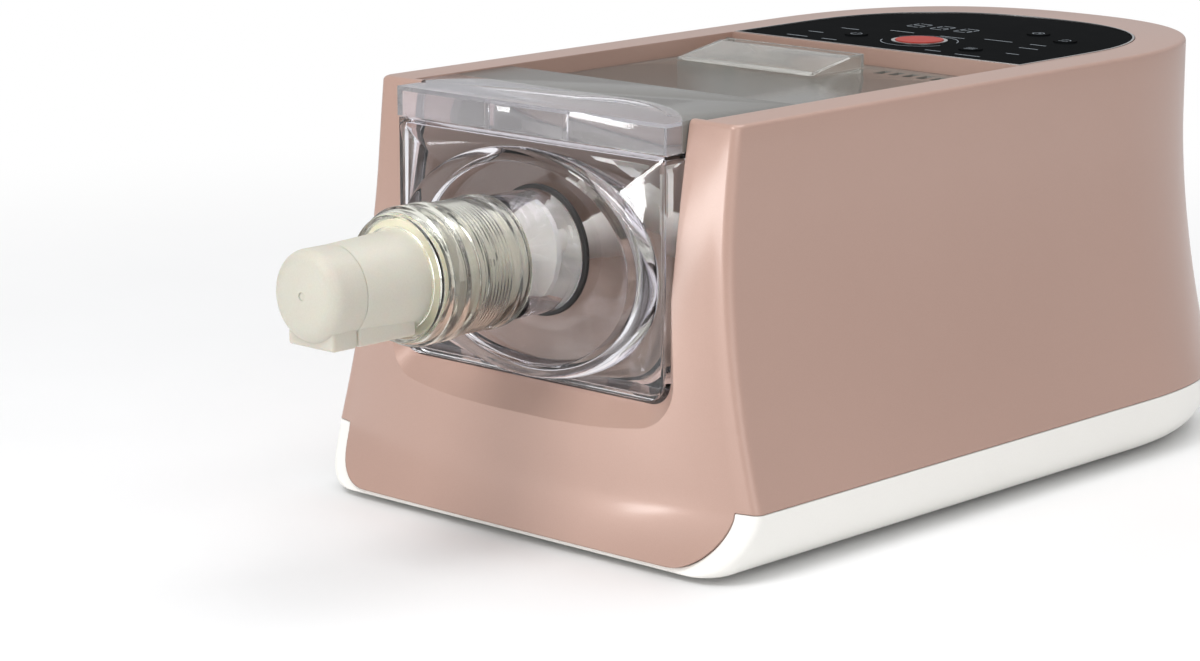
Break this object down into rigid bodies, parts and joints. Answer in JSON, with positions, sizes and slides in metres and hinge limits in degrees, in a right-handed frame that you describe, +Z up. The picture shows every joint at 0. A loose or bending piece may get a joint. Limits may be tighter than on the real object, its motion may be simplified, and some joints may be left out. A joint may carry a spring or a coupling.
{
  "type": "electric pasta maker",
  "caption": "Countertop electric pasta maker with a smoked hinged lid, clear front cover, extrusion barrel with threaded nut and die nozzle, round control panel and geared mixing drive.",
  "frame": {"origin": "middle of the footprint box, at the height of the table", "axes": "+Z up, the nozzle points along -Y, +X to the right of someone who faces the rear from the nozzle's side"},
  "size_m": [0.2804, 0.6072, 0.2107],
  "materials": {
    "rose_plastic": "satin",
    "pearl_plastic": "pearl",
    "smoked_plastic": "translucent satin",
    "clear_plastic": "clear",
    "milky_plastic": "milky",
    "black_glass": "polished",
    "black_plastic": "fine texture",
    "red_plastic": "satin",
    "silver_trim": "satin",
    "steel": "ground",
    "dark_rubber": "matte",
    "circuit_board": "lacquered",
    "gear_nylon": "satin"
  },
  "bodies": {
    "machine": {"housing_shell": "rose_plastic", "base_tray": "pearl_plastic", "foot_front_left": "dark_rubber", "foot_front_right": "dark_rubber", "foot_rear_left": "dark_rubber", "foot_rear_right": "dark_rubber", "chamber_cradle": "rose_plastic", "hinge_pin_left": "steel", "hinge_pin_right": "steel", "panel_trim": "silver_trim", "control_glass": "black_glass", "start_button_ring": "silver_trim", "control_board": "circuit_board", "display_module": "black_plastic", "gearbox_plate": "black_plastic", "gearbox_case": "black_plastic", "front_bearing": "steel", "rear_bearing": "steel", "idler_pin": "steel", "motor": "steel", "motor_bracket": "steel", "power_board": "circuit_board", "power_inlet": "black_plastic", "reed_switch": "black_plastic"},
    "lid_body": {"lid": "smoked_plastic", "lid_inlet": "clear_plastic", "lid_magnet": "steel"},
    "chamber": {"mixing_chamber": "clear_plastic", "chamber_seal": "dark_rubber"},
    "cover": {"front_cover": "clear_plastic", "extrusion_barrel": "clear_plastic", "barrel_gasket": "dark_rubber"},
    "mixer": {"auger": "milky_plastic", "mixing_paddle": "milky_plastic"},
    "nozzle": {"nozzle_tube": "milky_plastic"},
    "nut": {"barrel_nut": "clear_plastic"},
    "die_carrier": {"nozzle_end_cap": "milky_plastic", "shaping_die": "milky_plastic"},
    "output": {"drive_shaft": "steel", "output_gear": "gear_nylon"},
    "idler": {"idler_gear": "gear_nylon"},
    "rotor": {"motor_pinion": "steel", "cooling_fan": "black_plastic"},
    "start_button_body": {"start_button": "red_plastic"},
    "power_key_body": {"power_key": "black_glass"},
    "program_key_body": {"program_key": "black_glass"},
    "time_key_body": {"time_key": "black_glass"},
    "weight_key_body": {"weight_key": "black_glass"}
  },
  "joints": [
    {"name": "lid_hinge", "type": "hinge", "parent": "machine", "child": "lid_body", "pos_m": [0, 0.0958, 0.204], "axis": [-1, 0, 0], "range_deg": [0, 75]},
    {"name": "chamber_slide", "type": "slide", "parent": "machine", "child": "chamber", "axis": [0, -1, 0], "range_m": [0, 0.12]},
    {"name": "cover_slide", "type": "slide", "parent": "chamber", "child": "cover", "axis": [0, -1, 0], "range_m": [0, 0.12]},
    {"name": "mixer_spin", "type": "hinge", "parent": "chamber", "child": "mixer", "pos_m": [0, -0.1417, 0.1385], "axis": [0, -1, 0], "continuous": true},
    {"name": "nozzle_slide", "type": "slide", "parent": "cover", "child": "nozzle", "axis": [0, -1, 0], "range_m": [0, 0.014]},
    {"name": "nut_turn", "type": "hinge", "parent": "nozzle", "child": "nut", "pos_m": [0, -0.1417, 0.1385], "axis": [0, -1, 0], "range_deg": [0, 720]},
    {"name": "die_slide", "type": "slide", "parent": "nozzle", "child": "die_carrier", "axis": [0, -1, 0], "range_m": [0, 0.045]},
    {"name": "output_spin", "type": "hinge", "parent": "machine", "child": "output", "pos_m": [0, -0.1417, 0.1385], "axis": [0, -1, 0], "continuous": true},
    {"name": "idler_spin", "type": "hinge", "parent": "machine", "child": "idler", "pos_m": [0, -0.1417, 0.1025], "axis": [0, -1, 0], "continuous": true},
    {"name": "rotor_spin", "type": "hinge", "parent": "machine", "child": "rotor", "pos_m": [0, -0.1417, 0.0725], "axis": [0, -1, 0], "continuous": true},
    {"name": "start_button_press", "type": "slide", "parent": "machine", "child": "start_button_body", "axis": [0, 0, -1], "range_m": [0, 0.001], "stiffness_N_per_m": 1500, "springref_m": -0.0005},
    {"name": "power_key_press", "type": "slide", "parent": "machine", "child": "power_key_body", "axis": [0, 0, -1], "range_m": [0, 0.001], "stiffness_N_per_m": 1500, "springref_m": -0.0005},
    {"name": "program_key_press", "type": "slide", "parent": "machine", "child": "program_key_body", "axis": [0, 0, -1], "range_m": [0, 0.001], "stiffness_N_per_m": 1500, "springref_m": -0.0005},
    {"name": "time_key_press", "type": "slide", "parent": "machine", "child": "time_key_body", "axis": [0, 0, -1], "range_m": [0, 0.001], "stiffness_N_per_m": 1500, "springref_m": -0.0005},
    {"name": "weight_key_press", "type": "slide", "parent": "machine", "child": "weight_key_body", "axis": [0, 0, -1], "range_m": [0, 0.001], "stiffness_N_per_m": 1500, "springref_m": -0.0005}
  ],
  "couplings": [
    {"joint": "mixer_spin", "follows": "output_spin", "ratio": 1},
    {"joint": "idler_spin", "follows": "output_spin", "ratio": -3},
    {"joint": "rotor_spin", "follows": "output_spin", "ratio": 9},
    {"joint": "nozzle_slide", "follows": "nut_turn", "m_per_rad": 0.0011141}
  ]
}
